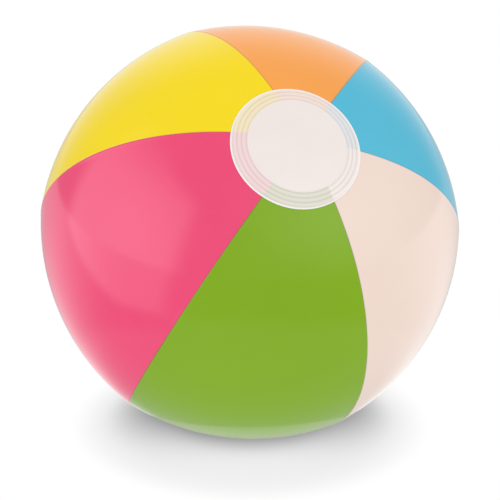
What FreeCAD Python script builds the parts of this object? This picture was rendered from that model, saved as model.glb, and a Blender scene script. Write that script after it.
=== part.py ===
import FreeCAD, Part
import math
import os
import Sketcher

# An inflated beach ball of six vinyl gores, resting on the floor. Millimetres, +Z up, with the origin at
# the centre of the small round patch that the ball's weight flattens against the floor.
#
# The gores are shaped in the ball's own frame: origin at the ball's centre, +Z out of the near end cap,
# and one seam in the half plane y = 0, x > 0. Every finished piece then gets the resting pose as Placement.

SIZES = (
    ("gores", 6, "number of gores round the ball"),
    ("seam_radius", 166.0, "radius of the seams at the equator"),
    ("gore_dip", 0.0146, "share of the radius by which a gore's middle lies inside the seams"),
    ("pole_squash", 0.024, "share of the radius by which the whole ball is shorter along its poles"),
    ("pole_flat", 0.036, "share of the radius by which the end caps are flattened on top of that"),
    ("film", 0.25, "thickness of the vinyl"),
    ("weld_gap", 0.05, "space left between two layers of vinyl that are welded in the real ball"),
    ("tip_start", 12.0, "distance from the pole at which the gores are begun, before their tips are trimmed"),
    ("trim_radius", 36.5, "radius to which the gore tips are trimmed under a cap"),
    ("cap_radius", 47.4, "radius of an end cap"),
    ("cap_shift_x", -6.7, "near cap's middle from the pole, along x"),
    ("cap_shift_y", 1.1, "near cap's middle from the pole, along y"),
    ("rib_first", 38.4, "radius of the innermost weld rib's middle"),
    ("rib_pitch", 3.05, "distance between weld ribs"),
    ("rib_width", 2.3, "width of a weld rib"),
    ("rib_height", 0.25, "height of a weld rib above the cap"),
    ("ribs", 3, "number of weld ribs in a cap"),
    ("heading", 19.0, "turn of the resting ball about the vertical, degrees"),
    ("tilt", 48.5, "lean of the poles from the vertical, degrees"),
    ("spin", 45.0, "turn of the ball about its own poles, degrees"),
    ("floor_dent", 0.8, "depth by which the floor flattens the ball"),
    ("valve_polar", 125.0, "angle from the near pole to the valve, degrees"),
    ("hole_radius", 10.0, "radius of the hole in the gore for the valve"),
    ("flange_radius", 17.0, "outer radius of the valve's base flange"),
    ("flange_bore", 9.5, "inner radius of the flange"),
    ("flange_wall", 0.6, "thickness of the flange"),
    ("skirt_mouth", 9.4, "outer radius of the skirt where it leaves the flange"),
    ("skirt_root", 7.5, "outer radius of the skirt at the stem's root"),
    ("skirt_wall", 0.5, "thickness of the skirt"),
    ("skirt_start", 0.3, "depth of the skirt's mouth below the outside"),
    ("skirt_depth", 11.5, "depth of the skirt's root"),
    ("stem_radius", 5.8, "outer radius of the stem tube"),
    ("stem_bore", 3.5, "radius of the stem's bore"),
    ("stem_top", 1.6, "depth of the stem's mouth"),
    ("bead_radius", 6.4, "radius of the bead round the stem's mouth"),
    ("bead_depth", 1.0, "height of that bead"),
    ("collar_radius", 6.9, "radius of the stem's root collar"),
    ("collar_top", 10.9, "depth of the collar's upper side"),
    ("stem_foot", 13.0, "depth of the stem's lower end"),
    ("plug_radius", 6.2, "radius of the plug's head"),
    ("plug_head", 1.5, "height of the plug's head"),
    ("plug_edge", 0.4, "chamfer round the plug's head"),
    ("shank_radius", 3.45, "radius of the plug's shank"),
    ("shank_tip", 2.7, "radius of the shank's end"),
    ("shank_end", 9.5, "depth of the shank's end"),
    ("shank_taper", 8.2, "depth where the shank starts to narrow"),
    ("strap_width", 3.2, "width of the strap that keeps the plug"),
    ("strap_wall", 0.7, "thickness of the strap"),
    ("strap_start", 6.25, "distance of the strap's plug end from the valve's axis"),
    ("strap_top", 0.3, "depth of the strap where it leaves the plug"),
    ("strap_bend", 0.6, "cut across each corner of the strap"),
    ("strap_reach", 7.45, "distance of the strap's outer side from the valve's axis"),
    ("strap_root", 5.85, "distance of the strap's stem end from the valve's axis"),
    ("strap_foot", 7.3, "depth of the strap's lower side"),
    ("flap_radius", 5.2, "radius of the check flap"),
    ("flap_wall", 0.4, "thickness of the check flap"),
    ("flap_gap", 0.05, "space between the stem's lower end and the flap"),
    ("tab_reach", 5.8, "distance of the outer edge of the flap's tab, about which it bends, from the axis"),
    ("tab_start", 3.9, "distance of that tab's inner end from the valve's axis"),
    ("tab_half", 1.5, "half the width of that tab"),
)

GORE_NAMES = ("panel_orange", "panel_blue", "panel_white", "panel_green", "panel_pink", "panel_yellow")
VALVE_GORE = "panel_orange"
FLOOR_GORE = "panel_green"

Z_AXIS = FreeCAD.Vector(0, 0, 1)
X_AXIS = FreeCAD.Vector(1, 0, 0)
ORIGIN = FreeCAD.Vector(0, 0, 0)

doc = FreeCAD.newDocument("beach_ball")
finished = []


# ---------------------------------------------------------------- spreadsheet


def make_sheet():
    """Write every size into the spreadsheet under its own alias."""
    sheet = doc.addObject("Spreadsheet::Sheet", "Sizes")
    for row, (name, value, note) in enumerate(SIZES, start=1):
        sheet.set(f"A{row}", name)
        sheet.set(f"B{row}", str(value))
        sheet.set(f"C{row}", note)
        sheet.setAlias(f"B{row}", name)
    doc.recompute()
    return {name: sheet.get(name) for name, _, _ in SIZES}


def amount(terms):
    """Sum of named sizes; a name with a minus in front is taken away."""
    return sum(-size[t[1:]] if t.startswith("-") else size[t] for t in terms)


def formula(terms):
    """The same sum as an expression on the spreadsheet."""
    return " ".join(f"- Sizes.{t[1:]}" if t.startswith("-") else f"+ Sizes.{t}" for t in terms)


# ---------------------------------------------------------------- shape of the inflated film


def half_gore():
    """Half the angle that one gore takes at the poles."""
    return math.pi / size["gores"]


def seam_reach(polar):
    """Distance of a seam from the ball's centre, at an angle from the near pole."""
    rise = math.cos(polar)
    return size["seam_radius"] * (1 - size["pole_squash"] * rise**2 - size["pole_flat"] * rise**8)


def gore_share(polar, across):
    """Distance of a gore as a share of the seams' distance, along an arc from seam to seam."""
    half = half_gore()
    middle = 1 - size["gore_dip"] * math.sin(polar) ** 2
    bulge = middle - math.cos(half)
    arc = (bulge**2 + math.sin(half) ** 2) / (2 * bulge)
    centre = middle - arc
    return centre * math.cos(across) + math.sqrt(arc**2 - (centre * math.sin(across)) ** 2)


def gore_point(polar, across, height):
    """Point of a gore whose middle runs through +X; height counts outward from the outer skin."""
    reach = seam_reach(polar) * gore_share(polar, across) + height
    ring = reach * math.sin(polar)
    return FreeCAD.Vector(ring * math.cos(across), ring * math.sin(across), reach * math.cos(polar))


def ball_point(polar, longitude, height):
    """The same point on the whole ball, where the seams lie at whole multiples of a gore's angle."""
    gore = math.floor(longitude / (2 * half_gore()))
    middle = (2 * gore + 1) * half_gore()
    flat = gore_point(polar, longitude - middle, height)
    return FreeCAD.Rotation(Z_AXIS, math.degrees(middle)).multVec(flat)


def pole_point(east, north, height):
    """Point of the near end, found along the direction (east, north, 1) from the centre."""
    return ball_point(math.atan(math.hypot(east, north)), math.atan2(north, east), height)


def steps(first, last, count):
    """Evenly spaced values, both ends included."""
    return [first + (last - first) * i / count for i in range(count + 1)]


def film_layer(place, rows, columns, top, bottom):
    """Closed solid between two heights of the film, over a grid of rows and columns."""
    skins = []
    for height in (top, bottom):
        skin = Part.BSplineSurface()
        skin.interpolate([[place(r, c, height) for c in columns] for r in rows])
        skins.append(skin)
    first_u, last_u, first_v, last_v = skins[0].bounds()
    faces = [skin.toShape() for skin in skins]
    for u in (first_u, last_u):
        faces.append(Part.makeRuledSurface(*[skin.uIso(u).toShape() for skin in skins]))
    for v in (first_v, last_v):
        faces.append(Part.makeRuledSurface(*[skin.vIso(v).toShape() for skin in skins]))
    sewn = Part.makeCompound(faces)
    sewn.sewShape()
    solid = Part.makeSolid(Part.Shell(sewn.Faces))
    if solid.Volume < 0:
        solid.reverse()
    return solid


def gore_layer(top, bottom):
    """One whole gore, nearly from pole to pole, its middle through +X."""
    tip = math.asin(size["tip_start"] / seam_reach(0))
    rows = steps(tip, math.pi - tip, 28)
    return film_layer(gore_point, rows, steps(-half_gore(), half_gore(), 8), top, bottom)


def pole_layer(top, bottom):
    """A square of film over the near pole, wide enough for the caps."""
    edge = 1.25 * size["cap_radius"] / seam_reach(0)
    grid = steps(-edge, edge, 16)
    return film_layer(pole_point, grid, grid, top, bottom)


def patch_layer(polar, across, top, bottom):
    """A square of film round one place of a gore, a little wider than the valve's flange."""
    edge = 1.3 * size["flange_radius"] / size["seam_radius"]
    rows = steps(polar - edge, polar + edge, 8)
    columns = steps(across - edge / math.sin(polar), across + edge / math.sin(polar), 8)
    return film_layer(gore_point, rows, columns, top, bottom)


# ---------------------------------------------------------------- places


def lowest_place(turn):
    """Polar angle and longitude of the film's lowest point once the ball is turned."""
    down = turn.inverted().multVec(FreeCAD.Vector(0, 0, -1))
    place = (math.acos(down.z), math.atan2(down.y, down.x))
    step = math.radians(4)
    while step > 1e-6:
        around = [(place[0] + i * step, place[1] + j * step) for i in (-1, 0, 1) for j in (-1, 0, 1)]
        best = min(around, key=lambda p: turn.multVec(ball_point(p[0], p[1], 0)).z)
        if best == place:
            step /= 2
        place = best
    return place


def resting_pose():
    """Placement of the ball's frame: turned, and lowered until the floor dents it."""
    turn = FreeCAD.Rotation(Z_AXIS, size["heading"])
    turn = turn.multiply(FreeCAD.Rotation(X_AXIS, size["tilt"]))
    turn = turn.multiply(FreeCAD.Rotation(Z_AXIS, size["spin"]))
    low = turn.multVec(ball_point(*lowest_place(turn), 0))
    return FreeCAD.Placement(FreeCAD.Vector(-low.x, -low.y, -low.z - size["floor_dent"]), turn)


def gore_turn(name):
    """Angle in degrees from +X to a gore's middle."""
    return math.degrees(half_gore()) * (1 - 2 * GORE_NAMES.index(name))


def valve_frame():
    """Frame of the valve in the ball's frame: +Z straight into the ball, +X towards the near pole."""
    polar = math.radians(size["valve_polar"])
    along = gore_point(polar - 1e-4, 0, 0) - gore_point(polar + 1e-4, 0, 0)
    along.normalize()
    sideways = FreeCAD.Vector(0, 1, 0)
    inward = along.cross(sideways)
    turn = FreeCAD.Rotation(along, sideways, inward, "ZXY")
    frame = FreeCAD.Placement(gore_point(polar, 0, 0), turn)
    return FreeCAD.Placement(ORIGIN, FreeCAD.Rotation(Z_AXIS, gore_turn(VALVE_GORE))).multiply(frame)


# ---------------------------------------------------------------- document helpers


def shape_object(name, shape, place=FreeCAD.Placement()):
    """Plain feature for a film layer, which no primitive or sketch can describe."""
    item = doc.addObject("Part::Feature", name)
    item.Shape = shape
    item.Placement = place
    return item


def cylinder(name, radius, height, place, middle=True):
    """Cylinder whose radius is bound to the sheet; it stands half above and half below its place."""
    item = doc.addObject("Part::Cylinder", name)
    item.setExpression("Radius", formula(radius))
    item.Height = height
    shift = FreeCAD.Vector(0, 0, -height / 2 if middle else 0)
    item.Placement = place.multiply(FreeCAD.Placement(shift, FreeCAD.Rotation()))
    return item


def combine(kind, name, base, tool):
    """Part::Cut, Part::Common or Part::Fuse of two objects."""
    item = doc.addObject(kind, name)
    item.Base = base
    item.Tool = tool
    return item


def finish(item, label, place):
    """Name a sub-part after its file and put it in its resting place."""
    item.Label = label
    item.Placement = place
    finished.append(item)


def body_plane(body, role):
    """Origin plane of a body, found by its role."""
    return next(f for f in body.Origin.OriginFeatures if f.Role == role)


def outline(body, name, role, corners):
    """Closed sketch of straight lines; each corner is a pair of sums of named sizes."""
    sketch = body.newObject("Sketcher::SketchObject", name)
    sketch.AttachmentSupport = [(body_plane(body, role), "")]
    sketch.MapMode = "FlatFace"
    points = [FreeCAD.Vector(amount(x), amount(y), 0) for x, y in corners]
    for i, point in enumerate(points):
        sketch.addGeometry(Part.LineSegment(point, points[(i + 1) % len(points)]), False)
    for i, point in enumerate(points):
        sketch.addConstraint(Sketcher.Constraint("Coincident", i, 2, (i + 1) % len(points), 1))
        for kind, value, terms in (("DistanceX", point.x, corners[i][0]), ("DistanceY", point.y, corners[i][1])):
            if terms:
                index = sketch.addConstraint(Sketcher.Constraint(kind, -1, 1, i, 1, value))
                sketch.setExpression(f"Constraints[{index}]", formula(terms))
            else:
                axis = -2 if kind == "DistanceX" else -1
                sketch.addConstraint(Sketcher.Constraint("PointOnObject", i, 1, axis))
    return sketch


def turned_body(label, corners, place):
    """Body of revolution about the valve's axis; corners are (radius, depth)."""
    body = doc.addObject("PartDesign::Body", label)
    profile = outline(body, label + "_profile", "XZ_Plane", corners)
    turned = body.newObject("PartDesign::Revolution", label + "_turned")
    turned.Profile = profile
    turned.ReferenceAxis = (profile, ["V_Axis"])
    turned.Angle = 360
    finish(body, label, place)


# ---------------------------------------------------------------- gores


def cap_middle(end):
    """Place on the axis of a cap, well inside the ball, with +Z outward."""
    if end == "near":
        turn = FreeCAD.Rotation()
        shift = FreeCAD.Vector(size["cap_shift_x"], size["cap_shift_y"], 0)
    else:
        turn = FreeCAD.Rotation(X_AXIS, 180)
        shift = ORIGIN
    inside = turn.multVec(FreeCAD.Vector(0, 0, 0.6 * seam_reach(0)))
    return FreeCAD.Placement(shift + inside, turn)


def make_trim():
    """Two drills, one at each pole, that trim the gore tips to a circle about the cap's middle."""
    drills = [cylinder(f"{end}_trim", ["trim_radius"], 80, cap_middle(end), middle=False)
              for end in ("near", "far")]
    return combine("Part::Fuse", "tip_trim", *drills)


def cut_valve_hole(gore, valve):
    """Round hole for the valve."""
    drill = cylinder("valve_hole", ["hole_radius"], 20, valve)
    return combine("Part::Cut", "gore_with_hole", gore, drill)


def flatten_on_floor(gore, pose):
    """Replace the part of a gore below the floor by a flat window of film."""
    side = 120
    inward = 6
    corner = FreeCAD.Vector(-side / 2, -side / 2, 0)
    below = doc.addObject("Part::Box", "below_floor")
    below.Length = below.Width = side
    below.Height = 10
    below.Placement = pose.inverse().multiply(
        FreeCAD.Placement(corner - FreeCAD.Vector(0, 0, 10), FreeCAD.Rotation()))
    cut = combine("Part::Cut", "gore_above_floor", gore, below)
    slab = doc.addObject("Part::Box", "floor_slab")
    slab.Length = slab.Width = side
    slab.setExpression("Height", "Sizes.film")
    slab.Placement = pose.inverse().multiply(FreeCAD.Placement(corner, FreeCAD.Rotation()))
    turn = FreeCAD.Rotation(Z_AXIS, gore_turn(FLOOR_GORE))
    thick = shape_object("gore_inside", gore_layer(-size["film"] / 2, -inward), FreeCAD.Placement(ORIGIN, turn))
    window = combine("Part::Common", "floor_window", thick, slab)
    return combine("Part::Fuse", "gore_on_floor", cut, window)


def make_gores(pose, valve):
    """The six gores, all of one shape, one with the valve's hole and one flattened by the floor."""
    film = gore_layer(0, -size["film"])
    trim = make_trim()
    for name in GORE_NAMES:
        turn = FreeCAD.Placement(ORIGIN, FreeCAD.Rotation(Z_AXIS, gore_turn(name)))
        gore = combine("Part::Cut", name + "_trimmed", shape_object(name + "_film", film, turn), trim)
        if name == VALVE_GORE:
            gore = cut_valve_hole(gore, valve)
        elif name == FLOOR_GORE:
            gore = flatten_on_floor(gore, pose)
        finish(gore, name, pose)


# ---------------------------------------------------------------- end caps


def make_rib(end, index, layer, middle):
    """One raised ring round the cap."""
    to_middle = ["rib_first"] + ["rib_pitch"] * index
    rings = []
    for side, sign in (("outer", 1), ("inner", -1)):
        ring = cylinder(f"{end}_rib_{index}_{side}", to_middle, 80, middle, middle=False)
        ring.setExpression("Radius", f"{formula(to_middle)} + {sign} * Sizes.rib_width / 2")
        rings.append(ring)
    tube = combine("Part::Cut", f"{end}_rib_{index}_tube", *rings)
    return combine("Part::Common", f"{end}_rib_{index}", layer, tube)


def make_cap(end, pose):
    """Milky disc over the trimmed gore tips, with its weld ribs."""
    middle = cap_middle(end)
    turn = FreeCAD.Placement(ORIGIN, middle.Rotation)
    low = size["weld_gap"]
    top = low + size["film"]
    flat = shape_object(f"{end}_cap_film", pole_layer(top, low), turn)
    edge = cylinder(f"{end}_cap_edge", ["cap_radius"], 80, middle, middle=False)
    disc = combine("Part::Common", f"{end}_cap_disc", flat, edge)
    raised = shape_object(f"{end}_rib_film", pole_layer(top + size["rib_height"], top - size["film"] / 2), turn)
    cap = doc.addObject("Part::MultiFuse", f"{end}_cap_ribbed")
    cap.Shapes = [disc] + [make_rib(end, i, raised, middle) for i in range(int(size["ribs"]))]
    finish(cap, f"{end}_cap", pose)


# ---------------------------------------------------------------- valve


def make_flange(pose, valve):
    """Ring behind the hole in the gore, following the gore's inner side."""
    top = -size["film"] - size["weld_gap"]
    turn = FreeCAD.Placement(ORIGIN, FreeCAD.Rotation(Z_AXIS, gore_turn(VALVE_GORE)))
    sheet = patch_layer(math.radians(size["valve_polar"]), 0, top, top - size["flange_wall"])
    film = shape_object("flange_film", sheet, turn)
    outer = cylinder("flange_edge", ["flange_radius"], 20, valve)
    inner = cylinder("flange_mouth", ["flange_bore"], 20, valve)
    ring = combine("Part::Cut", "flange_tube", outer, inner)
    finish(combine("Part::Common", "flange_ring", film, ring), "valve_base", pose)


def make_skirt(place):
    """Thin cone from the flange down to the stem's root; it turns inside out when the stem is pulled."""
    turned_body("valve_skirt", (
        (["skirt_mouth"], ["skirt_start"]),
        (["skirt_root"], ["skirt_depth"]),
        (["skirt_root", "-skirt_wall"], ["skirt_depth"]),
        (["skirt_mouth", "-skirt_wall"], ["skirt_start"]),
    ), place)


def make_stem(place):
    """Tube with a bead round its mouth and a collar at its root."""
    turned_body("valve_stem", (
        (["stem_bore"], ["stem_top"]),
        (["bead_radius"], ["stem_top"]),
        (["bead_radius"], ["stem_top", "bead_depth"]),
        (["stem_radius"], ["stem_top", "bead_depth"]),
        (["stem_radius"], ["collar_top"]),
        (["collar_radius"], ["collar_top"]),
        (["collar_radius"], ["stem_foot"]),
        (["stem_bore"], ["stem_foot"]),
    ), place)


def make_plug(place):
    """Flat head, flush with the gore, on a shank that fills the stem's bore."""
    turned_body("valve_plug", (
        ([], []),
        (["plug_radius", "-plug_edge"], []),
        (["plug_radius"], ["plug_edge"]),
        (["plug_radius"], ["plug_head"]),
        (["shank_radius"], ["plug_head"]),
        (["shank_radius"], ["shank_taper"]),
        (["shank_tip"], ["shank_end"]),
        ([], ["shank_end"]),
    ), place)


def make_strap(place):
    """Flat strap that leaves the plug's head, folds down beside the stem and joins it."""
    body = doc.addObject("PartDesign::Body", "valve_strap")
    inside = ["strap_reach", "-strap_wall"]
    above = ["strap_foot", "-strap_wall"]
    profile = outline(body, "strap_profile", "XZ_Plane", (
        (["strap_start"], ["strap_top"]),
        (["strap_reach", "-strap_bend"], ["strap_top"]),
        (["strap_reach"], ["strap_top", "strap_bend"]),
        (["strap_reach"], ["strap_foot", "-strap_bend"]),
        (["strap_reach", "-strap_bend"], ["strap_foot"]),
        (["strap_root"], ["strap_foot"]),
        (["strap_root"], above),
        (inside + ["-strap_bend"], above),
        (inside, above + ["-strap_bend"]),
        (inside, ["strap_top", "strap_wall"]),
        (["strap_start"], ["strap_top", "strap_wall"]),
    ))
    pad = body.newObject("PartDesign::Pad", "strap_width")
    pad.Profile = profile
    pad.setExpression("Length", "Sizes.strap_width")
    middle = FreeCAD.Placement(FreeCAD.Vector(0, size["strap_width"] / 2, 0), FreeCAD.Rotation())
    turned = FreeCAD.Placement(ORIGIN, FreeCAD.Rotation(Z_AXIS, 180))
    finish(body, "valve_strap", place.multiply(turned).multiply(middle))


def make_flap(place):
    """Round flap under the stem, welded by a tab on one side, that lets air in and not out."""
    body = doc.addObject("PartDesign::Body", "check_flap")
    disc = body.newObject("Sketcher::SketchObject", "flap_disc")
    disc.AttachmentSupport = [(body_plane(body, "XY_Plane"), "")]
    disc.MapMode = "FlatFace"
    disc.addGeometry(Part.Circle(ORIGIN, Z_AXIS, size["flap_radius"]), False)
    disc.addConstraint(Sketcher.Constraint("Coincident", 0, 3, -1, 1))
    radius = disc.addConstraint(Sketcher.Constraint("Radius", 0, size["flap_radius"]))
    disc.setExpression(f"Constraints[{radius}]", "Sizes.flap_radius")
    pad = body.newObject("PartDesign::Pad", "flap_wall")
    pad.Profile = disc
    pad.setExpression("Length", "Sizes.flap_wall")
    tab = outline(body, "flap_tab", "XY_Plane", (
        (["tab_start"], ["-tab_half"]),
        (["tab_reach"], ["-tab_half"]),
        (["tab_reach"], ["tab_half"]),
        (["tab_start"], ["tab_half"]),
    ))
    weld = body.newObject("PartDesign::Pad", "tab_wall")
    weld.Profile = tab
    weld.setExpression("Length", "Sizes.flap_wall")
    depth = FreeCAD.Vector(0, 0, size["stem_foot"] + size["flap_gap"])
    finish(body, "check_flap", place.multiply(FreeCAD.Placement(depth, FreeCAD.Rotation())))


# ---------------------------------------------------------------- checks and files


def check_and_export():
    """Stop on any failed object or bad shape, then write one file for each sub-part."""
    for item in doc.Objects:
        if {"Invalid", "Error"} & set(item.State):
            raise RuntimeError(f"{item.Name} failed: {item.State}")
    os.makedirs("parts", exist_ok=True)
    for item in finished:
        if item.Shape.isNull() or not item.Shape.isValid() or not item.Shape.Solids:
            raise RuntimeError(f"{item.Label} has no valid solid")
    for item in finished:
        item.Shape.exportStep(f"parts/{item.Label}.step")
        print(f"{item.Label:14} solids {len(item.Shape.Solids)} volume {item.Shape.Volume:9.1f} mm3")


size = make_sheet()
pose = resting_pose()
valve = valve_frame()
valve_place = pose.multiply(valve)
make_gores(pose, valve)
make_cap("near", pose)
make_cap("far", pose)
make_flange(pose, valve)
make_skirt(valve_place)
make_stem(valve_place)
make_plug(valve_place)
make_strap(valve_place)
make_flap(valve_place)
doc.recompute()
check_and_export()
hinge = valve_place.multVec(FreeCAD.Vector(size["tab_reach"], 0, size["stem_foot"] + size["flap_gap"]))
print("ball centre", pose.Base)
print("valve mouth", valve_place.Base, "outward", valve_place.Rotation.multVec(-Z_AXIS))
print("flap hinge", hinge, "axis", valve_place.Rotation.multVec(FreeCAD.Vector(0, 1, 0)))
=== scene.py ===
"""Looks of the inflated beach ball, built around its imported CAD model. Metres, in the CAD model's frame:
+Z up, origin on the floor at the middle of the contact patch.

Gores, caps and flange are made in the ball's own frame (origin at the ball's centre, +Z out of the near
cap, one seam in the half plane y = 0, x > 0), and then turned into the resting pose. The valve's pieces
are made in the valve's frame: +Z straight into the ball, +X towards the near pole.
"""

import math
import bpy
import numpy as np
from mathutils import Matrix, Vector


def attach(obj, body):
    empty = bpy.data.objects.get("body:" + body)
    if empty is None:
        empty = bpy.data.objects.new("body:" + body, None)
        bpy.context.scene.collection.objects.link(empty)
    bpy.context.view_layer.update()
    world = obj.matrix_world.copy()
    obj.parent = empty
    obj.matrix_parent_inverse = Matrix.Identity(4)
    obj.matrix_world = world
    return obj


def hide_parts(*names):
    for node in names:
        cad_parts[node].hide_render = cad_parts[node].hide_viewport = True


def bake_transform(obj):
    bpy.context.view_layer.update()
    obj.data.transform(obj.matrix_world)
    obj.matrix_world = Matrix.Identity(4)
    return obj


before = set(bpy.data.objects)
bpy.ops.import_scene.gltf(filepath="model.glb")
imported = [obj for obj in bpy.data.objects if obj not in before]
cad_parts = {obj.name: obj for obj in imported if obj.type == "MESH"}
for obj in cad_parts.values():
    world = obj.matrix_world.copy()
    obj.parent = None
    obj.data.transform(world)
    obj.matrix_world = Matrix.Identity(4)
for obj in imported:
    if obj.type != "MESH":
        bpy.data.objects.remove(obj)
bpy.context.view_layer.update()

MM = 0.001
WHOLE = 2 * math.pi

# Shape of the inflated film, as in the CAD model.
GORES = 6
HALF_GORE = math.pi / GORES
SEAM_RADIUS = 166 * MM
GORE_DIP = 0.0146
POLE_SQUASH = 0.024
POLE_FLAT = 0.036
FILM = 0.25 * MM
WELD_GAP = 0.05 * MM
TRIM_RADIUS = 36.5 * MM
CAP_RADIUS = 47.4 * MM
NEAR_CAP_SHIFT = np.array((-6.7, 1.1)) * MM
FAR_CAP_SHIFT = np.zeros(2)
HEADING, TILT, SPIN = (math.radians(a) for a in (19, 48.5, 45))
FLOOR_DENT = 0.8 * MM

GORE_NAMES = ("orange", "blue", "white", "green", "pink", "yellow")
COLOURS = {
    "orange": (1.0, 0.392, 0.082),
    "blue": (0.09, 0.525, 0.725),
    "white": (0.91, 0.73, 0.64),
    "green": (0.232, 0.44, 0.008),
    "pink": (0.91, 0.074, 0.197),
    "yellow": (0.985, 0.75, 0.007),
}

# Points of a gore: rows from pole to pole, steps between the seams' close columns, and those columns'
# distances from the seam.
GORE_ROWS = 112
GORE_MIDDLE = 22
BEAD_STEPS = np.array((0, 0.12, 0.25, 0.4, 0.6, 0.85, 1.2, 1.7, 2.3, 3.0, 4.2)) * MM
BEAD_HEIGHT = 0.13 * MM
CREASE_DEPTH = 0.2 * MM

# Caps. The weld's rings lie a little off the cap's middle, so its clear edge is wider on one side.
WELD_SHIFT = np.array((1.25, -0.1)) * MM
CAP_GROOVES = tuple(radius * MM for radius in (37.1, 40.4, 43.6, 46.8))
GROOVE_WIDTH = 0.55 * MM
GROOVE_DEPTH = 0.28 * MM
# how much the grooves' colour is darkened: painted shade
GROOVE_SHADE = 0.13
CAP_CENTRE = np.array((0.915, 0.828, 0.798))
CAP_RING = np.array((0.94, 0.865, 0.835))
CAP_RIM = np.array((0.97, 0.93, 0.91))
TINT_SHARES = {"yellow": 0.33, "green": 0.23, "white": 0.1}
TINT_SHARE = 0.18

# Valve: its place, then millimetres from its axis and depths below the outside, after the CAD model.
VALVE_GORE = "orange"
VALVE_POLAR = math.radians(125)
HOLE_RADIUS = 10.0
FLANGE_BORE, FLANGE_RADIUS, FLANGE_WALL = 9.5, 17, 0.6
SKIRT_MOUTH, SKIRT_ROOT, SKIRT_WALL = 9.4, 7.5, 0.5
SKIRT_START, SKIRT_DEPTH = 0.3, 11.5
STEM_BORE, STEM_RADIUS, STEM_BEAD, STEM_COLLAR = 3.5, 5.8, 6.4, 6.9
STEM_TOP, STEM_BEAD_END, STEM_COLLAR_TOP, STEM_FOOT = 1.6, 2.6, 10.9, 13.0
PLUG_RADIUS, PLUG_HEAD, PLUG_EDGE, PLUG_DISH = 6.2, 1.5, 0.4, 0.45
SHANK_RADIUS, SHANK_TIP, SHANK_TAPER, SHANK_END = 3.45, 2.7, 8.2, 9.5
STRAP_HALF_WIDTH, STRAP_HALF_WALL = 1.6, 0.33
FLAP_RADIUS, FLAP_WALL, FLAP_TOP = 5.2, 0.4, 13.05
TAB_REACH, TAB_HALF = 5.8, 1.5


def smooth(value, low, high):
    """Soft step from 0 at the low value to 1 at the high one."""
    t = np.clip((value - low) / (high - low), 0, 1)
    return t * t * (3 - 2 * t)


# ---------------------------------------------------------------- shape of the film


def seam_reach(polar):
    """Distance of a seam from the ball's centre, at an angle from the near pole."""
    rise = np.cos(polar)
    return SEAM_RADIUS * (1 - POLE_SQUASH * rise**2 - POLE_FLAT * rise**8)


def gore_share(polar, across):
    """Distance of a gore as a share of the seams' distance, along an arc from seam to seam."""
    middle = 1 - GORE_DIP * np.sin(polar) ** 2
    bulge = middle - math.cos(HALF_GORE)
    arc = (bulge**2 + math.sin(HALF_GORE) ** 2) / (2 * bulge)
    centre = middle - arc
    return centre * np.cos(across) + np.sqrt(arc**2 - (centre * np.sin(across)) ** 2)


def film_points(polar, longitude, height):
    """Points of the ball at a height above the outer skin; seams lie at multiples of a gore's angle."""
    across = np.mod(longitude, 2 * HALF_GORE) - HALF_GORE
    reach = seam_reach(polar) * gore_share(polar, across) + height
    ring = reach * np.sin(polar)
    return np.stack((ring * np.cos(longitude), ring * np.sin(longitude), reach * np.cos(polar)), axis=-1)


def polar_at_ring(ring, longitude):
    """Angle from the pole at which the film is that far from the pole's axis."""
    across = np.mod(longitude, 2 * HALF_GORE) - HALF_GORE
    polar = np.asarray(ring) / SEAM_RADIUS
    for _ in range(12):
        polar = np.arcsin(ring / (seam_reach(polar) * gore_share(polar, across)))
    return polar


# ---------------------------------------------------------------- places


def turn(angle, axis):
    """Matrix that turns about an axis through the origin."""
    return Matrix.Rotation(angle, 4, axis)


def resting_pose():
    """Matrix from the ball's frame to the CAD frame: turned, and lowered until the floor dents it."""
    pose = turn(HEADING, "Z") @ turn(TILT, "X") @ turn(SPIN, "Z")
    rotate = np.array(pose.to_3x3())
    down = -rotate[2]
    place = np.array((math.acos(down[2]), math.atan2(down[1], down[0])))
    step = math.radians(4)
    around = np.array([(i, j) for i in (-1, 0, 1) for j in (-1, 0, 1)])
    while step > 1e-7:
        tries = place + around * step
        heights = film_points(tries[:, 0], tries[:, 1], 0) @ rotate[2]
        best = tries[heights.argmin()]
        if np.allclose(best, place):
            step /= 2
        place = best
    low = rotate @ film_points(*place, 0)
    pose.translation = Vector((-low[0], -low[1], -low[2] - FLOOR_DENT))
    return pose


def valve_frame():
    """Matrix from the valve's frame to the ball's frame, in the middle of the orange gore."""
    nudge = 1e-4
    near, far, mouth = (film_points(VALVE_POLAR + d, HALF_GORE, 0) for d in (-nudge, nudge, 0))
    along = Vector(near - far).normalized()
    sideways = Vector((-math.sin(HALF_GORE), math.cos(HALF_GORE), 0))
    inward = along.cross(sideways)
    matrix = Matrix((along, sideways, inward)).transposed().to_4x4()
    matrix.translation = Vector(mouth)
    return matrix


VALVE = valve_frame()


def flat_on_valve(points):
    """Coordinates across the valve's axis of points in the ball's frame."""
    turned = (points - np.array(VALVE.translation)) @ np.array(VALVE.to_3x3())
    return turned[..., :2]


def on_film(x, y, height):
    """Points of the film in the ball's frame, from coordinates across the valve's axis."""
    rotate = np.array(VALVE.to_3x3())
    spot = np.array(VALVE.translation) + x[..., None] * rotate[:, 0] + y[..., None] * rotate[:, 1]
    polar = np.arccos(spot[..., 2] / np.linalg.norm(spot, axis=-1))
    return film_points(polar, np.arctan2(spot[..., 1], spot[..., 0]), height)


# ---------------------------------------------------------------- mesh helpers


def paint(piece, name, values):
    """Plain number on each vertex, for the material to read."""
    layer = piece.data.attributes.new(name, "FLOAT", "POINT")
    layer.data.foreach_set("value", np.asarray(values, np.float32))


def paint_colour(piece, name, colours):
    """Colour on each vertex, for the material to read."""
    layer = piece.data.attributes.new(name, "FLOAT_COLOR", "POINT")
    layer.data.foreach_set("color", np.insert(colours, 3, 1, axis=1).astype(np.float32).ravel())


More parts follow.
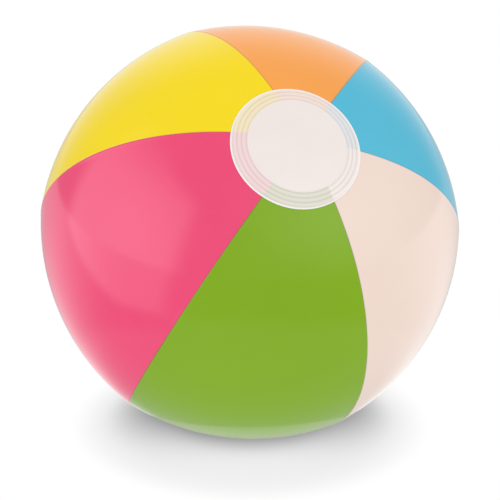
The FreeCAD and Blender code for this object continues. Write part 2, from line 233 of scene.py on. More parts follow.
def make_object(name, points, faces, matrix, sharp=35):
    """Mesh object from points in a local frame; edges sharper than the angle stay sharp."""
    mesh = bpy.data.meshes.new(name)
    mesh.from_pydata([tuple(p) for p in points], [], faces)
    mesh.transform(matrix)
    mesh.update()
    mesh.shade_smooth()
    mesh.set_sharp_from_angle(angle=math.radians(sharp))
    piece = bpy.data.objects.new(name, mesh)
    bpy.context.scene.collection.objects.link(piece)
    return piece


def shell(name, outer, inner, faces, matrix):
    """Closed shell between two skins of the same topology, walled along their open edges."""
    count = len(outer)
    edges = {}
    for face in faces:
        for a, b in zip(face, face[1:] + face[:1]):
            edges[(a, b)] = edges.get((a, b), 0) + 1
    walls = [(b, a, a + count, b + count) for a, b in edges if (b, a) not in edges]
    back = [tuple(reversed([i + count for i in face])) for face in faces]
    return make_object(name, np.concatenate((outer, inner)), list(faces) + back + walls, matrix)


def grid_faces(rows, columns, wrap=False):
    """Quads of a grid of rows times columns points, joined round if wrapped."""
    last = columns if wrap else columns - 1
    return [(r * columns + c, r * columns + (c + 1) % columns,
             (r + 1) * columns + (c + 1) % columns, (r + 1) * columns + c)
            for r in range(rows - 1) for c in range(last)]


def lathe(name, profile, matrix, segments=96, sharp=40):
    """Solid turned about Z from (radius, depth) points; a closed ring unless its ends lie on the axis."""
    closed = profile[0][0] > 0
    angles = np.linspace(0, WHOLE, segments, endpoint=False)
    points, rings = [], []
    for radius, depth in profile:
        if radius == 0:
            rings.append([len(points)])
            points.append((0, 0, depth))
        else:
            rings.append(list(range(len(points), len(points) + segments)))
            points.extend((radius * math.cos(a), radius * math.sin(a), depth) for a in angles)
    pairs = list(zip(rings, rings[1:] + rings[:1])) if closed else list(zip(rings, rings[1:]))
    faces = []
    for one, two in pairs:
        for i in range(segments):
            j = (i + 1) % segments
            if len(one) == 1:
                faces.append((one[0], two[j], two[i]))
            elif len(two) == 1:
                faces.append((one[i], one[j], two[0]))
            else:
                faces.append((one[i], one[j], two[j], two[i]))
    return make_object(name, np.array(points), faces, matrix, sharp)


ARC_STEPS = 4


def rounded(corners, radius):
    """The corners of an outline, each cut by a small arc, as a denser outline."""
    points = [Vector(c) for c in corners]
    result = []
    for i, corner in enumerate(points):
        before = points[i - 1] - corner
        after = points[(i + 1) % len(points)] - corner
        reach = min(radius, before.length / 2.2, after.length / 2.2)
        start = corner + before.normalized() * reach
        end = corner + after.normalized() * reach
        for k in range(ARC_STEPS + 1):
            t = k / ARC_STEPS
            result.append(start * (1 - t) ** 2 + corner * 2 * t * (1 - t) + end * t**2)
    return [(p.x, p.y) for p in result]


# ---------------------------------------------------------------- materials


def material(name, colour, roughness, ior=1.53):
    """Principled material, its nodes and links, ready for detail."""
    made = bpy.data.materials.new(name)
    made.use_nodes = True
    nodes = made.node_tree.nodes
    surface = nodes["Principled BSDF"]
    surface.inputs["Base Color"].default_value = (*colour, 1)
    surface.inputs["Roughness"].default_value = roughness
    surface.inputs["IOR"].default_value = ior
    return made, nodes, made.node_tree.links, surface


def noise(nodes, links, scale, detail=3):
    """Noise texture in object space, in features per metre."""
    place = nodes.new("ShaderNodeTexCoord")
    texture = nodes.new("ShaderNodeTexNoise")
    texture.inputs["Scale"].default_value = scale
    texture.inputs["Detail"].default_value = detail
    links.new(place.outputs["Object"], texture.inputs["Vector"])
    return texture.outputs["Fac"]


def remap(nodes, links, source, start, end, soft=False):
    """A node's number, moved from one range to another and kept inside it."""
    node = nodes.new("ShaderNodeMapRange")
    node.interpolation_type = "SMOOTHSTEP" if soft else "LINEAR"
    node.inputs["From Min"].default_value, node.inputs["From Max"].default_value = start
    node.inputs["To Min"].default_value, node.inputs["To Max"].default_value = end
    links.new(source, node.inputs["Value"])
    return node.outputs["Result"]


def ramp(nodes, links, source, low, high):
    """Noise mapped to a range of plain numbers."""
    return remap(nodes, links, source, (0.3, 0.7), (low, high))


def attribute(nodes, name):
    """The number painted on the vertices under that name."""
    node = nodes.new("ShaderNodeAttribute")
    node.attribute_name = name
    return node.outputs["Fac"]


def blend_colours(nodes, links, factor, first, second):
    """Mix of two colours, each a plain colour or another node's output."""
    mix = nodes.new("ShaderNodeMix")
    mix.data_type = "RGBA"
    links.new(factor, mix.inputs["Factor"])
    for socket, colour in (("A", first), ("B", second)):
        if isinstance(colour, tuple):
            mix.inputs[socket].default_value = (*colour, 1)
        else:
            links.new(colour, mix.inputs[socket])
    return mix.outputs["Result"]


def add_peel(nodes, links, surface, strength=0.05, scale=900):
    """Very fine unevenness of calendered vinyl."""
    bump = nodes.new("ShaderNodeBump")
    bump.inputs["Strength"].default_value = strength
    bump.inputs["Distance"].default_value = 0.1 * MM
    links.new(noise(nodes, links, scale, 2), bump.inputs["Height"])
    links.new(bump.outputs["Normal"], surface.inputs["Normal"])


def vinyl(name, colour, roughness=0.13):
    """Calendered soft vinyl: faint mottling of the pigment, uneven gloss, and painted shade in a thin line
    along each seam's crease.
    """
    made, nodes, links, surface = material(name, colour, roughness)
    deep = tuple(part * 0.93 for part in colour)
    mottling = ramp(nodes, links, noise(nodes, links, 9, 2), 0.0, 0.5)
    mottled = blend_colours(nodes, links, mottling, colour, deep)
    # Painted shade: the film right at each seam's crease is drawn darker, standing in for the crease's
    # shadow.
    line = tuple(part * 0.6 for part in colour)
    crease = remap(nodes, links, attribute(nodes, "seam"), (0.15, 0.55), (0.8, 0.0))
    links.new(blend_colours(nodes, links, crease, mottled, line), surface.inputs["Base Color"])
    links.new(ramp(nodes, links, noise(nodes, links, 60), roughness * 0.8, roughness * 1.25),
              surface.inputs["Roughness"])
    add_peel(nodes, links, surface)
    return made


def milky_vinyl():
    """Whitish film of the caps, whose vertices hold the tint of what shines through and the painted shade
    of the weld's grooves.
    """
    made, nodes, links, surface = material("vinyl_cap", tuple(CAP_CENTRE), 0.16)
    tint = nodes.new("ShaderNodeAttribute")
    tint.attribute_name = "tint"
    cloud = ramp(nodes, links, noise(nodes, links, 25, 3), 0.0, 1.0)
    cloudy = nodes.new("ShaderNodeMix")
    cloudy.data_type = "RGBA"
    cloudy.blend_type = "MULTIPLY"
    cloudy.inputs["B"].default_value = (0.975, 0.97, 0.965, 1)
    links.new(cloud, cloudy.inputs["Factor"])
    links.new(tint.outputs["Color"], cloudy.inputs["A"])
    links.new(cloudy.outputs["Result"], surface.inputs["Base Color"])
    links.new(ramp(nodes, links, noise(nodes, links, 60), 0.13, 0.2), surface.inputs["Roughness"])
    add_peel(nodes, links, surface)
    return made


def valve_vinyl():
    """Soft, slightly cloudy moulded vinyl."""
    made, nodes, links, surface = material("valve_vinyl", (0.86, 0.86, 0.84), 0.3)
    cloudy = blend_colours(nodes, links, ramp(nodes, links, noise(nodes, links, 400, 4), 0.0, 1.0),
                           (0.88, 0.88, 0.86), (0.80, 0.81, 0.80))
    links.new(cloudy, surface.inputs["Base Color"])
    surface.inputs["Subsurface Weight"].default_value = 0.35
    surface.inputs["Subsurface Radius"].default_value = (1, 0.9, 0.8)
    surface.inputs["Subsurface Scale"].default_value = 2 * MM
    links.new(ramp(nodes, links, noise(nodes, links, 1500), 0.24, 0.38), surface.inputs["Roughness"])
    add_peel(nodes, links, surface, 0.15, 2500)
    return made


# ---------------------------------------------------------------- gores


def seam_height(distance):
    """Height of the welded edge over the film, by distance from the seam's crease."""
    bead = BEAD_HEIGHT * (1 - smooth(distance, 1.0 * MM, 3.0 * MM))
    return bead - CREASE_DEPTH * (1 - smooth(distance, 0, 0.6 * MM))


def gore_columns(ring):
    """Longitudes from a gore's middle, close together near the seams, for each ring radius."""
    near = HALF_GORE - BEAD_STEPS[None, :] / ring[:, None]
    spread = np.linspace(-1, 1, GORE_MIDDLE + 1)[1:-1]
    middle = near[:, -1:] * spread[None, :]
    return np.concatenate((-near, middle, near[:, ::-1]), axis=1)


def trim_ring(longitude, shift):
    """Distance from the pole's axis of the circle to which the gore tips are trimmed."""
    along = shift[0] * np.cos(longitude) + shift[1] * np.sin(longitude)
    return along + np.sqrt(TRIM_RADIUS**2 - shift @ shift + along**2)


def gore_grid(middle):
    """Polar angles and longitudes of a gore's points, trimmed at both tips."""
    t = np.linspace(0, 1, GORE_ROWS)
    guess = 0.3 + (math.pi - 0.6) * t
    across = gore_columns(seam_reach(guess) * np.sin(guess))
    for _ in range(3):
        longitude = middle + across
        first = polar_at_ring(trim_ring(longitude, NEAR_CAP_SHIFT), longitude)
        last = math.pi - polar_at_ring(trim_ring(-longitude, FAR_CAP_SHIFT), longitude)
        polar = first + (last - first) * t[:, None]
        across = gore_columns(seam_reach(polar[:, GORE_MIDDLE]) * np.sin(polar[:, GORE_MIDDLE]))
    return polar, middle + across, across


def cap_groove(weld, radius):
    """Share by which a point of a cap lies in one of the weld's grooves."""
    lines = sum(np.exp(-((weld - groove) / GROOVE_WIDTH) ** 2) for groove in CAP_GROOVES)
    return lines * (1 - smooth(radius, CAP_RADIUS - 1.1 * MM, CAP_RADIUS - 0.6 * MM))


def cap_height(weld, radius):
    """Height of a cap's film over the gores' skin: lower between the tips, grooved over them."""
    step = smooth(weld, 35.4 * MM, 36.9 * MM)
    edge = smooth(radius, CAP_RADIUS - 0.5 * MM, CAP_RADIUS)
    flat = 0.22 * MM + 0.32 * MM * step - FILM * edge
    return flat - GROOVE_DEPTH * cap_groove(weld, radius)


def cap_colours(weld, radius, longitude):
    """Milky film, tinted in its ring by the gores that shine through, with painted shade in the grooves."""
    gores = (-np.floor(longitude / (2 * HALF_GORE)).astype(int)) % GORES
    under = np.array([COLOURS[name] for name in GORE_NAMES])[gores]
    share = np.array([TINT_SHARES.get(name, TINT_SHARE) for name in GORE_NAMES])[gores]
    ring = smooth(weld, 35.8 * MM, 36.9 * MM)[..., None]
    share = share[..., None] * (1 - smooth(radius, 45.2 * MM, 46.6 * MM)[..., None])
    colour = CAP_CENTRE * (1 - ring) + ring * (CAP_RING * (1 - share) + under * share)
    # Painted shade: the weld's grooves are drawn darker, standing in for their shadow.
    colour *= 1 - GROOVE_SHADE * cap_groove(weld, radius)[..., None]
    rim = smooth(radius, 46.0 * MM, 46.7 * MM)[..., None]
    return colour * (1 - rim) + CAP_RIM * rim


def cap_distance(points, end):
    """Distance of points in the ball's frame from the axis through a cap's middle."""
    side = points[..., 2] > 0 if end == "near" else points[..., 2] < 0
    shift = NEAR_CAP_SHIFT if end == "near" else FAR_CAP_SHIFT
    return np.where(side, np.hypot(points[..., 0] - shift[0], points[..., 1] - shift[1]), 1)


def make_gore(name, pose, look):
    """One gore of film with the welded edges along its two seams."""
    middle = HALF_GORE * (1 - 2 * GORE_NAMES.index(name))
    polar, longitude, across = gore_grid(middle)
    ring = seam_reach(polar) * np.sin(polar)
    distance = (HALF_GORE - np.abs(across)) * ring
    bare = film_points(polar, longitude, 0)
    under = np.minimum(cap_distance(bare, "near"), cap_distance(bare, "far"))
    height = seam_height(distance) * smooth(under, CAP_RADIUS - 0.5 * MM, CAP_RADIUS + 2 * MM)
    outer = film_points(polar, longitude, height).reshape(-1, 3)
    inner = film_points(polar, longitude, np.minimum(height, 0) - FILM).reshape(-1, 3)
    faces = grid_faces(*polar.shape)
    distance = distance.ravel()
    if name == VALVE_GORE:
        outer, inner, faces = pierce(outer, inner, faces, polar.shape)
        distance = np.append(distance, np.full(len(outer) - distance.size, SEAM_RADIUS))
        used = sorted({i for face in faces for i in face})
        places = {old: new for new, old in enumerate(used)}
        faces = [tuple(places[i] for i in face) for face in faces]
        outer, inner, distance = outer[used], inner[used], distance[used]
    piece = shell(f"gore_{name}", outer, inner, faces, pose)
    paint(piece, "seam", np.tile(distance / MM, 2))
    flatten(piece, len(outer))
    finish_piece(piece, f"panel_{name}", "ball", look)


PIERCED = 21 * MM            # distance from the valve's axis out to which a gore's quads are replaced
MARKS = (12, 14, 16)         # radii in millimetres of the rings that the valve's weld leaves
HOLE_SEGMENTS = 96


def weld_marks(radius):
    """Height of the rings that the valve's weld leaves in the film round the hole."""
    marks = sum(np.exp(-((radius / MM - mark) / 0.3) ** 2) for mark in MARKS)
    return -0.18 * MM * marks + 0.08 * MM * (1 - smooth(radius, 10.5 * MM, 17.5 * MM))


def pierce(outer, inner, faces, shape):
    """Swap the gore's quads round the valve for rings that run from the round hole out to them."""
    spots = flat_on_valve(outer)
    away = np.hypot(*spots.T).reshape(shape)
    rows = np.flatnonzero((away < PIERCED).any(axis=1))
    columns = np.flatnonzero((away < PIERCED).any(axis=0))
    r0, r1, c0, c1 = rows[0] - 1, rows[-1] + 1, columns[0] - 1, columns[-1] + 1
    width = shape[1]
    keep = [f for f in faces if not (r0 <= f[0] // width < r1 and c0 <= f[0] % width < c1)]
    rim = {r * width + c for r in range(r0, r1 + 1) for c in (c0, c1)}
    rim |= {r * width + c for r in (r0, r1) for c in range(c0, c1 + 1)}
    turns = {i: math.atan2(spots[i][1], spots[i][0]) % WHOLE for i in rim}
    outside = sorted(rim, key=turns.get)
    count = HOLE_SEGMENTS
    radii = np.concatenate(([HOLE_RADIUS, 10.1, 10.4, 11.0], np.arange(11.4, 17.2, 0.2), [17.6, 18.6])) * MM
    angles = np.arange(count) * WHOLE / count
    radius, angle = np.meshgrid(radii, angles, indexing="ij")
    x, y = radius * np.cos(angle), radius * np.sin(angle)
    start = len(outer)
    keep += [tuple(start + i for i in f) for f in grid_faces(len(radii), count, wrap=True)]
    inside = list(range(start + (len(radii) - 1) * count, start + len(radii) * count))
    keep += zip_loops(inside, list(angles), outside, [turns[i] for i in outside])
    height = weld_marks(radius)
    height[0] -= 0.08 * MM
    outer = np.concatenate((outer, on_film(x, y, height).reshape(-1, 3)))
    inner = np.concatenate((inner, on_film(x, y, np.full_like(x, -FILM)).reshape(-1, 3)))
    return outer, inner, keep


def zip_loops(inside, inside_turns, outside, outside_turns):
    """Triangles between two loops that both run round with rising angles."""
    a = b = 0
    faces = []
    while a < len(inside) or b < len(outside):
        next_in = inside_turns[a + 1] if a + 1 < len(inside) else WHOLE + (a >= len(inside))
        next_out = outside_turns[b + 1] if b + 1 < len(outside) else WHOLE + (b >= len(outside))
        here, there = inside[a % len(inside)], outside[b % len(outside)]
        if a < len(inside) and (next_in <= next_out or b >= len(outside)):
            faces.append((here, inside[(a + 1) % len(inside)], there))
            a += 1
        else:
            faces.append((here, outside[(b + 1) % len(outside)], there))
            b += 1
    return faces


def flatten(piece, count):
    """Press whatever would be under the floor flat on it, the inner skin one film higher."""
    for i, vertex in enumerate(piece.data.vertices):
        vertex.co.z = max(vertex.co.z, 0 if i < count else FILM)


def finish_piece(piece, node, body, look):
    """Material, body and the CAD node that a piece stands for."""
    piece.data.materials.append(look)
    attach(piece, body)
    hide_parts(node)


# ---------------------------------------------------------------- caps


def make_cap(end, pose, look):
    """Milky disc over the gore tips, with weld grooves round its ring."""
    shift = NEAR_CAP_SHIFT if end == "near" else FAR_CAP_SHIFT
    matrix = pose if end == "near" else pose @ turn(math.pi, "X")
    fine = np.arange(34 * MM, CAP_RADIUS, 0.25 * MM)
    radii = np.concatenate((np.linspace(1.5 * MM, 33 * MM, 16), fine, [CAP_RADIUS]))
    angles = np.linspace(0, WHOLE, 240, endpoint=False)
    radius, angle = np.meshgrid(radii, angles, indexing="ij")
    across = np.stack((radius * np.cos(angle), radius * np.sin(angle)), axis=-1)
    weld = np.hypot(*np.moveaxis(across - WELD_SHIFT, -1, 0))
    x, y = np.moveaxis(across + shift, -1, 0)
    longitude = np.arctan2(y, x)
    polar = polar_at_ring(np.hypot(x, y), longitude)
    rings = film_points(polar, longitude, cap_height(weld, radius)).reshape(-1, 3)
    below = film_points(polar, longitude, WELD_GAP).reshape(-1, 3)
    hub_place = math.atan2(shift[1], shift[0])
    hub_polar = polar_at_ring(math.hypot(*shift), hub_place)
    hub = [film_points(hub_polar, hub_place, h)[None] for h in (cap_height(0, 0), WELD_GAP)]
    count = len(angles)
    faces = [tuple(reversed([i + 1 for i in face])) for face in grid_faces(len(radii), count, wrap=True)]
    faces += [(0, 1 + i, 1 + (i + 1) % count) for i in range(count)]
    outer, inner = np.concatenate((hub[0], rings)), np.concatenate((hub[1], below))
    piece = shell(f"cap_{end}", outer, inner, faces, matrix)
    seen_from = longitude if end == "near" else -longitude
    colours = np.concatenate((CAP_CENTRE[None], cap_colours(weld, radius, seen_from).reshape(-1, 3)))
    paint_colour(piece, "tint", np.tile(colours, (2, 1)))
    finish_piece(piece, f"{end}_cap", "ball", look)


# ---------------------------------------------------------------- valve


def make_flange(pose, look):
    """Ring welded under the gore round its hole."""
    top = -(FILM + WELD_GAP)
    low = top - FLANGE_WALL * MM
    bore, edge = FLANGE_BORE * MM, FLANGE_RADIUS * MM
    profile = np.array(rounded([(bore, top), (edge, top), (edge, low), (bore, low)], 0.25 * MM))
    angles = np.linspace(0, WHOLE, HOLE_SEGMENTS, endpoint=False)
    radius, angle = np.meshgrid(profile[:, 0], angles, indexing="ij")
    height = np.repeat(profile[:, 1:], len(angles), axis=1)
    points = on_film(radius * np.cos(angle), radius * np.sin(angle), height).reshape(-1, 3)
    rows, count = radius.shape
    faces = [tuple(i % (rows * count) for i in f) for f in grid_faces(rows + 1, count, wrap=True)]
    piece = make_object("valve_flange", points, faces, pose)
    finish_piece(piece, "valve_base", "ball", look)


def make_skirt(place, look):
    """Thin cone with a rolled lip at its mouth, made in its resting shape."""
    depths = np.linspace(SKIRT_START, SKIRT_DEPTH, 29)
    share = (depths - SKIRT_START) / (SKIRT_DEPTH - SKIRT_START)
    outer = SKIRT_MOUTH + (SKIRT_ROOT - SKIRT_MOUTH) * share
    wall = SKIRT_WALL + 0.15 * np.exp(-share / 0.05)
    corners = [(r * MM, d * MM) for r, d in zip(outer, depths)]
    corners += [((r - w) * MM, d * MM) for r, w, d in zip(outer[::-1], wall[::-1], depths[::-1])]
    piece = lathe("valve_skirt_film", corners, place)
    piece.data.materials.append(look)
    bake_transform(piece)
    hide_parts("valve_skirt")


def make_stem(place, look):
    """Tube with a soft bead round its mouth and a collar at its root."""
    corners = [(STEM_BORE, STEM_TOP), (STEM_BEAD, STEM_TOP), (STEM_BEAD, STEM_BEAD_END),
               (STEM_RADIUS, STEM_BEAD_END), (STEM_RADIUS, STEM_COLLAR_TOP), (STEM_COLLAR, STEM_COLLAR_TOP),
               (STEM_COLLAR, STEM_FOOT), (STEM_BORE, STEM_FOOT)]
    profile = rounded([(r * MM, d * MM) for r, d in corners], 0.3 * MM)
    piece = lathe("valve_stem_tube", profile, place)
    finish_piece(piece, "valve_stem", "valve_stem", look)


def make_plug(place, look):
    """Plug with a dished head and a shank that narrows at its end."""
    head = [(0, PLUG_DISH), (3.4, PLUG_DISH), (4.1, 0.0), (PLUG_RADIUS - PLUG_EDGE, 0.0),
            (PLUG_RADIUS, PLUG_EDGE), (PLUG_RADIUS, PLUG_HEAD)]
    shank = [(SHANK_RADIUS, PLUG_HEAD), (SHANK_RADIUS, SHANK_TAPER), (SHANK_TIP, SHANK_END), (0, SHANK_END)]
    corners = [(r * MM, d * MM) for r, d in head + shank]
    arc = ARC_STEPS + 1
    profile = corners[:1] + rounded(corners, 0.3 * MM)[arc:-arc] + corners[-1:]
    piece = lathe("valve_plug_body", profile, place)
    finish_piece(piece, "valve_plug", "valve_plug", look)


def smooth_line(corners, steps):
    """Points of a smooth line through the corners."""
    spots = [Vector(corner) for corner in corners]
    spots = [spots[0] * 2 - spots[1]] + spots + [spots[-1] * 2 - spots[-2]]
    dense = []
    for a, b, c, d in zip(spots, spots[1:], spots[2:], spots[3:]):
        for k in range(steps):
            t = k / steps
            dense.append(0.5 * (b * 2 + (c - a) * t + (a * 2 - b * 5 + c * 4 - d) * t**2
                                + (b * 3 - a - c * 3 + d) * t**3))
    return dense + [spots[-2]]


def make_strap(place, look):
    """Flat strap that leaves the plug's head, folds down beside the stem and joins it."""
    line = [(-6.1, 0.65), (-6.6, 0.65), (-6.95, 0.85), (-7.1, 1.25), (-7.1, 3.0), (-7.1, 5.0), (-7.1, 6.3),
            (-6.95, 6.75), (-6.6, 6.95), (-5.82, 6.95)]
    dense = smooth_line([(x * MM, 0, z * MM) for x, z in line], 6)
    wide, thick = STRAP_HALF_WIDTH * MM, STRAP_HALF_WALL * MM
    section = rounded([(-wide, -thick), (wide, -thick), (wide, thick), (-wide, thick)], 0.25 * MM)
    aside = Vector((0, 1, 0))
    points = []
    for i, spot in enumerate(dense):
        ahead = (dense[min(i + 1, len(dense) - 1)] - dense[max(i - 1, 0)]).normalized()
        through = ahead.cross(aside)
        points += [spot + aside * a + through * b for a, b in section]
    count = len(section)
    faces = grid_faces(len(dense), count, wrap=True)
    faces += [tuple(range(count)), tuple(reversed(range(len(points) - count, len(points))))]
    piece = make_object("valve_plug_strap", points, faces, place)
    piece.data.materials.append(look)
    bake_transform(piece)
    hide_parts("valve_strap")


def make_flap(place, look):
    """Round flap under the stem with the tab that welds it on."""
    top, low, soft = FLAP_TOP, FLAP_TOP + FLAP_WALL, 0.1
    angles = np.linspace(0, WHOLE, 120, endpoint=False)
    tab = np.minimum(TAB_REACH / np.maximum(np.cos(angles), 1e-6),
                     TAB_HALF / np.maximum(np.abs(np.sin(angles)), 1e-6))
    reach = np.where(np.cos(angles) > 0, np.maximum(tab, FLAP_RADIUS), FLAP_RADIUS)
    bevel = 1 - soft / FLAP_RADIUS
    rows = [(0.6, top), (bevel, top), (1, top + soft), (1, low - soft), (bevel, low), (0.6, low)]
    points = [(share * r * math.cos(a) * MM, share * r * math.sin(a) * MM, depth * MM)
              for share, depth in rows for a, r in zip(angles, reach)]
    count = len(angles)
    faces = [tuple(reversed(f)) for f in grid_faces(len(rows), count, wrap=True)]
    faces += [tuple(reversed(range(count))), tuple(range((len(rows) - 1) * count, len(rows) * count))]
    piece = make_object("valve_flap", points, faces, place)
    finish_piece(piece, "check_flap", "check_flap", look)


def make_valve(pose, look):
    """All the valve's pieces, in their places in the orange gore."""
    place = pose @ VALVE
    make_flange(pose, look)
    make_skirt(place, look)
    make_stem(place, look)
    make_plug(place, look)
    make_strap(place, look)
    make_flap(place, look)


# ---------------------------------------------------------------- stage


# Camera: how far it looks down, its distance back, up and to the right of the ball's middle, and its lens.
PITCH = math.radians(18)
CAMERA_BACK, CAMERA_UP, CAMERA_RIGHT = 1.1620, -0.01389, 0.00016
LENS = 104.76

# Light box in the mirrored studio: corners in degrees round and up, and those of its lower part in metres
# on the floor.
BOX_SKY = [(-112, -8), (-41, -8), (-28, 34), (-98, 66)]
BOX_FLOOR = [(-0.33, -0.36), (-0.45, -0.20), (-5.0, 2.2), (-4.0, -4.5)]

# Brightness of what the ball mirrors.
SKY_GLOW = 0.26              # everywhere over the horizon
BACK_GLOW = 0.65             # more behind the ball
RIGHT_GLOW = 0.85            # more in a soft patch at the right
BOX_GLOW, HEART_GLOW = 0.95, 0.8      # more in the light box, and again in its middle
FLOOR_GLOW = 0.50            # the floor, at its least
SIDE_GLOW = 0.55             # more of it to the sides and behind
FAR_LOSS = 0.45              # less of it behind
SHADE_LOSS = 0.28            # less in the ball's shadow behind it
FRONT_LOSS = 0.24            # less in front, beyond the ball's surroundings
CONTACT_GLOW = 0.06          # more close to the ball
BOX_FLOOR_GLOW = 0.7         # more in the light box's lower part
SKY_REACH = 4.5              # radius of the mirrored dome

# Painted shadow on the floor: for each part the distances from the ball's middle, on the floor, at which it
# starts and stops fading, and its depth.
CORE = (0.065, 0.122, 0.60)
HALO = (0.10, 0.154, 0.23)
CORE_BEHIND = 0.047          # how far the shadow's darkest spot lies behind its outline's middle
CORE_WIDTH = 0.97            # the core is drawn out sideways by the inverse of this
BACK_FADE = (0.02, 0.13)     # distances behind the ball's middle over which the core gets weaker
BACK_LEFT = 0.15             # share of the core that is left there
PAPER_WHITE = 1.005


def make_camera(centre):
    """Long lens a little above the ball, looking down at it by the camera's pitch."""
    back = Vector((0, -math.cos(PITCH), math.sin(PITCH)))
    up = Vector((0, math.sin(PITCH), math.cos(PITCH)))
    right = Vector((1, 0, 0))
    camera = bpy.data.cameras.new("camera")
    camera.lens = LENS
    camera.sensor_width = 36
    piece = bpy.data.objects.new("camera", camera)
    bpy.context.scene.collection.objects.link(piece)
    piece.location = centre + back * CAMERA_BACK + up * CAMERA_UP + right * CAMERA_RIGHT
    piece.rotation_euler = (math.pi / 2 - PITCH, 0, 0)
    bpy.context.scene.camera = piece


def inside_outline(x, y, outline, soft):
    """1 inside a convex outline that runs anticlockwise, 0 outside, with a soft edge."""
    depth = np.full(np.shape(x), np.inf)
    for (x0, y0), (x1, y1) in zip(outline, outline[1:] + outline[:1]):
        across = ((x1 - x0) * (y - y0) - (y1 - y0) * (x - x0)) / math.hypot(x1 - x0, y1 - y0)
        depth = np.minimum(depth, across)
    return smooth(depth, -soft, soft)


def mirrored_sky(azimuth, elevation):
    """Brightness of the studio as the ball mirrors it, by direction in degrees: 0 is to the front."""
    back = smooth(np.abs(azimuth), 120, 165) * (1 - smooth(elevation, 30, 75))
    right = np.exp(-((azimuth - 55) / 40) ** 2 - ((elevation - 27) / 24) ** 2)
    box = inside_outline(azimuth, elevation, BOX_SKY, 6) * (1 - smooth(elevation, 25, 62)) * (1 - back)
    heart = np.exp(-((azimuth + 62) / 30) ** 2 - ((elevation - 8) / 32) ** 2)
    return SKY_GLOW + BACK_GLOW * back + RIGHT_GLOW * right + box * (BOX_GLOW + HEART_GLOW * heart)


def mirrored_floor(x, y):
    """Brightness of the floor as the ball mirrors it: whitest at the sides, darker in front and behind."""
    azimuth = np.abs(np.degrees(np.arctan2(x, -y)))
    away = np.hypot(x, y)
    front = smooth(np.hypot(x, y + 0.13), 0.25, 0.33) * (1 - smooth(azimuth, 80, 125))
    contact = 1 - smooth(away, 0.08, 0.16)
    shaded = smooth(azimuth, 130, 165) * (1 - smooth(away, 0.2, 0.6))
    white = FLOOR_GLOW + SIDE_GLOW * smooth(azimuth, 62, 104) - FAR_LOSS * smooth(azimuth, 108, 145)
    box = inside_outline(x, y, BOX_FLOOR, 0.06)
    plain = white + CONTACT_GLOW * contact - SHADE_LOSS * shaded - FRONT_LOSS * front
    return plain + (BOX_FLOOR_GLOW + FRONT_LOSS * front) * box


def glow_sheet(name, points, faces, glow):
    """Staged sheet that only mirrors see, as bright as its points say."""
    sheet = make_object(name, points, faces, Matrix.Identity(4))
    paint(sheet, "glow", glow)
    made = bpy.data.materials.new(name)
    made.use_nodes = True
    nodes, links = made.node_tree.nodes, made.node_tree.links
    nodes.remove(nodes["Principled BSDF"])
    emission = nodes.new("ShaderNodeEmission")
    links.new(attribute(nodes, "glow"), emission.inputs["Strength"])
    links.new(emission.outputs["Emission"], nodes["Material Output"].inputs["Surface"])
    sheet.data.materials.append(made)
    for ray in ("camera", "diffuse", "transmission", "volume_scatter", "shadow"):
        setattr(sheet, f"visible_{ray}", False)


def make_mirrored_studio(centre):
    """Dome and floor cards that give the vinyl its reflections and light nothing."""
    azimuth, elevation = np.meshgrid(np.arange(-180, 180, 1.5), np.arange(-6, 90.1, 1.5))
    glow = mirrored_sky(azimuth, elevation)
    turned, risen = np.radians(azimuth), np.radians(elevation)
    flat = np.cos(risen)
    ways = np.stack((np.sin(turned) * flat, -np.cos(turned) * flat, np.sin(risen)), axis=-1)
    points = SKY_REACH * ways.reshape(-1, 3) + np.array(centre)
    glow_sheet("mirrored_sky", points, grid_faces(*azimuth.shape, wrap=True), glow.ravel())
    reach = 0.09 * 1.035 ** np.arange(116)
    around = np.radians(np.arange(0, 360, 3))
    reach, around = np.meshgrid(reach, around, indexing="ij")
    x, y = reach * np.cos(around), reach * np.sin(around)
    points = np.stack((x, y, np.full_like(x, 0.0003)), axis=-1).reshape(-1, 3)
    glow_sheet("mirrored_floor", points, grid_faces(*x.shape, wrap=True), mirrored_floor(x, y).ravel())


def calculate(nodes, links, operation, *values):
    """Math node on numbers or other nodes' outputs."""
    node = nodes.new("ShaderNodeMath")
    node.operation = operation
    for socket, value in zip(node.inputs, values):
        if isinstance(value, (int, float)):
            socket.default_value = value
        else:
            links.new(value, socket)
    return node.outputs["Value"]


def distance_of(nodes, links, x, y):
    """Length of the flat vector (x, y)."""
    squares = (calculate(nodes, links, "POWER", part, 2.0) for part in (x, y))
    return calculate(nodes, links, "SQRT", calculate(nodes, links, "ADD", *squares))


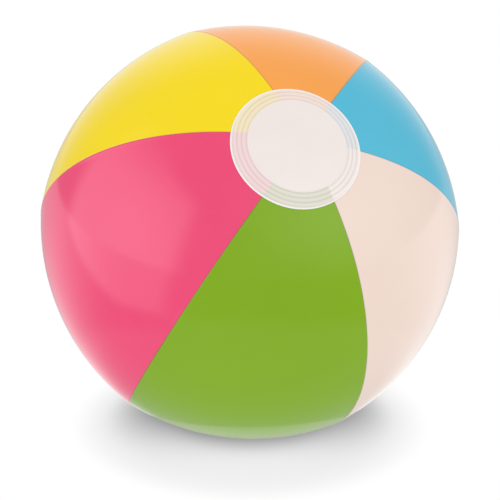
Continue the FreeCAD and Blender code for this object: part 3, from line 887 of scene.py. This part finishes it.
def floor_paper(centre):
    """White paper that glows evenly, with the ball's soft shadow painted into its glow, worked out from the
    ball's place.
    """
    made = bpy.data.materials.new("floor_paper")
    made.use_nodes = True
    nodes, links = made.node_tree.nodes, made.node_tree.links
    nodes.remove(nodes["Principled BSDF"])
    place = nodes.new("ShaderNodeNewGeometry")
    split = nodes.new("ShaderNodeSeparateXYZ")
    links.new(place.outputs["Position"], split.inputs["Vector"])
    x = calculate(nodes, links, "SUBTRACT", split.outputs["X"], centre[0])
    y = calculate(nodes, links, "SUBTRACT", split.outputs["Y"], centre[1])
    fading = remap(nodes, links, y, BACK_FADE, (1.0, BACK_LEFT), soft=True)
    away = distance_of(nodes, links, x, y)
    behind = remap(nodes, links, away, (0.06, 0.14), (CORE_BEHIND, 0.0), soft=True)
    y = calculate(nodes, links, "SUBTRACT", y, behind)
    tone = 1.0
    for squeeze, (start, stop, depth), share in ((CORE_WIDTH, CORE, fading), (1.0, HALO, 1.0)):
        away = distance_of(nodes, links, calculate(nodes, links, "MULTIPLY", x, squeeze), y)
        dark = remap(nodes, links, away, (start, stop), (depth, 0.0), soft=True)
        dark = calculate(nodes, links, "MULTIPLY", dark, share)
        tone = calculate(nodes, links, "SUBTRACT", tone, dark)
    emission = nodes.new("ShaderNodeEmission")
    links.new(calculate(nodes, links, "MULTIPLY", tone, PAPER_WHITE), emission.inputs["Strength"])
    links.new(emission.outputs["Emission"], nodes["Material Output"].inputs["Surface"])
    made.cycles.emission_sampling = "NONE"
    return made


def make_stage(centre):
    """White surroundings, white paper under the ball, and the mirrored studio."""
    world = bpy.data.worlds.new("studio")
    bpy.context.scene.world = world
    world.use_nodes = True
    light = world.node_tree.nodes["Background"]
    light.inputs["Color"].default_value = (1, 1, 1, 1)
    light.inputs["Strength"].default_value = 1.0
    side = 8.0
    sheet = make_object("floor", [(-side, -side, 0), (side, -side, 0), (side, side, 0), (-side, side, 0)],
                        [(0, 1, 2, 3)], Matrix.Translation((0, 0, -0.0001)))
    sheet.data.materials.append(floor_paper(centre))
    make_mirrored_studio(centre)
    bpy.context.scene.view_settings.view_transform = "Standard"


# ---------------------------------------------------------------- assembly

pose = resting_pose()
make_camera(pose.translation)
make_stage(pose.translation)
for name in GORE_NAMES:
    make_gore(name, pose, vinyl(f"vinyl_{name}", COLOURS[name]))
cap_vinyl = milky_vinyl()
for end in ("near", "far"):
    make_cap(end, pose, cap_vinyl)
make_valve(pose, valve_vinyl())
